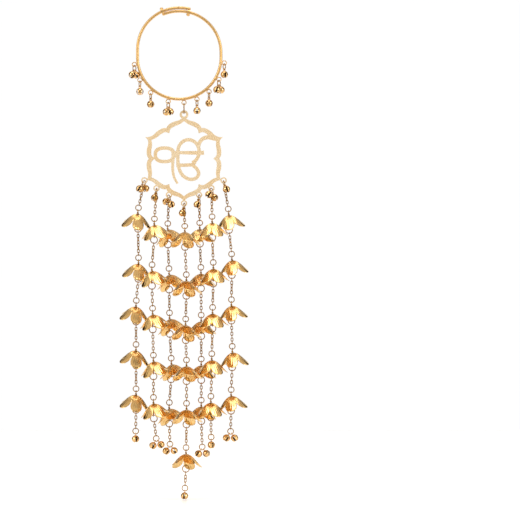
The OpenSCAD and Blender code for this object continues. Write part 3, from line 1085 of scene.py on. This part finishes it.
    def place(self) -> Matrix:
        """Where the bell's own frame stands: slits along X and Y, loop up."""
        eighth = math.pi / 4
        across = np.cross(self.up, self.panel_way)
        ahead = unit(math.cos(eighth) * self.panel_way - math.sin(eighth) * across)
        side = np.cross(self.up, ahead)
        columns = np.column_stack([ahead, side, self.up])
        matrix = Matrix([list(row) for row in columns]).to_4x4()
        matrix.translation = Vector(self.middle)
        return matrix

    def stamp_shell(self, name: str, place: Matrix) -> bpy.types.Object:
        """Makes the slit shell, with its wall and rolled edges.

        Args:
            name: the bell's name.
            place: where the bell's own frame stands.

        Returns:
            The shell.
        """
        shell = self.shell_draft().to_object(f"{name}_shell", BELL_GOLD.material(), place)
        # The second finish, for the wall's inner faces, is painted shade inside the bell
        shell.data.materials.append(SHELL_INSIDE_SHADE.material())
        join_seams(shell)
        wall = shell.modifiers.new("wall", "SOLIDIFY")
        wall.thickness = self.wall * MM
        wall.offset = -1
        wall.material_offset = 1
        edge = shell.modifiers.new("rolled_edge", "BEVEL")
        edge.width = self.edge * MM
        edge.segments = 2
        edge.limit_method = "ANGLE"
        edge.angle_limit = SMOOTH_LIMIT
        return shell

    def turn_loop(self, name: str, place: Matrix) -> bpy.types.Object:
        """Makes the wire loop on the shell's top.

        Args:
            name: the bell's name.
            place: where the bell's own frame stands.

        Returns:
            The loop.
        """
        draft = MeshDraft()
        own_normal = np.array(place.to_3x3().inverted()) @ self.loop_normal
        up = np.array([0, 0, 1])
        side = unit(np.cross(own_normal, up))
        radius = (self.loop_d - self.loop_wire) / 2
        turns = np.linspace(0, 2 * math.pi, self.loop_steps, endpoint=False)
        circle = radius * (np.outer(np.cos(turns), side) + np.outer(np.sin(turns), up))
        draft.add_wire((circle + self.arm * up) * MM, self.loop_wire / 2 * MM, closed=True)
        return draft.to_object(f"{name}_loop", BELL_GOLD.material(), place)

    def drop_pellet(self, name: str, place: Matrix) -> bpy.types.Object:
        """Makes the loose pellet at the bottom of the shell.

        Args:
            name: the bell's name.
            place: where the bell's own frame stands.

        Returns:
            The pellet.
        """
        draft = MeshDraft()
        low = self.pellet_r + self.wall - self.shell_r + self.pellet_gap
        draft.add_ball(np.array([0, 0, low]) * MM, self.pellet_r * MM, self.pellet_last_row)
        return draft.to_object(f"{name}_pellet", PELLET_STEEL.material(), place)

    def build(self, name: str, body: str) -> list[bpy.types.Object]:
        """Makes the bell's three pieces.

        Args:
            name: the bell's name.
            body: the body that carries it.

        Returns:
            The shell, the loop and the pellet.
        """
        place = self.place()
        makers = (self.stamp_shell, self.turn_loop, self.drop_pellet)
        pieces = [make(name, place) for make in makers]
        for piece in pieces:
            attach(piece, body)
        return pieces


@dataclass
class Bells:
    """All the bells of one CAD node, with the jump rings that the node holds."""

    node: str
    group: BellSet
    # A solid that is thinner than this is a jump ring
    ring_most: float = 1.0

    def build(self) -> None:
        """Replaces the node's plain bells with stamped ones."""
        rings, shells = [], []
        for points in loose_solids(self.node):
            _, extents = main_axes(points)
            is_ring = extents[0] < self.ring_most * MM
            (rings if is_ring else shells).append(points)
        pieces: list[bpy.types.Object] = []
        for i, points in enumerate(shells):
            pieces += Bell.from_solid(points).build(f"{self.node}_{i}", self.group.value)
        if rings:
            pieces.append(self.add_rings(rings))
        for piece in pieces:
            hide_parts(self.node)
            log.info("made %s", piece.name)

    def add_rings(self, rings: list[np.ndarray]) -> bpy.types.Object:
        """Makes the node's jump rings.

        Args:
            rings: the vertices of each ring's solid.

        Returns:
            One piece with all of them.
        """
        draft = MeshDraft()
        for i, points in enumerate(rings):
            JumpRing.from_solid(points).add_to(draft, GOLDEN_TURN * i)
        obj = draft.to_object(f"{self.node}_rings", RING_GOLD.material())
        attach(obj, self.group.value)
        return obj


# Strands from the left: lean to the front, lean to the side and turn of the flowers, in degrees
STRAND_LEANS = ((16, 9, 66), (8, -10, 12), (-10, -15, 60), (-14, 0, 0), (0, 0, 25), (4, -2, 12), (8, -9, 45))


def main() -> None:
    """Builds the sub-assemblies in order."""
    logging.basicConfig(level=logging.INFO, format="%(message)s")
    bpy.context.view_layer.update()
    studio = Studio()
    studio.place_camera()
    studio.lay_floor()
    studio.light_room()
    BangleAndPlaque().dress()
    for number, (front, side, turn) in enumerate(STRAND_LEANS, start=1):
        strand = Strand(number)
        strand.build()
        for row, top in enumerate(strand.pin_tops, start=1):
            flower = Flower(number, row, top, front, side, turn).build()
            log.info("made %s", flower.name)
        Bells(f"tip_bells_{number}", BellSet.DROP).build()
    for side_name in ("left", "right"):
        Bells(f"plaque_bells_{side_name}", BellSet.DROP).build()
        Bells(f"bangle_bells_{side_name}", BellSet.BANGLE).build()


if __name__ == "__main__":
    main()
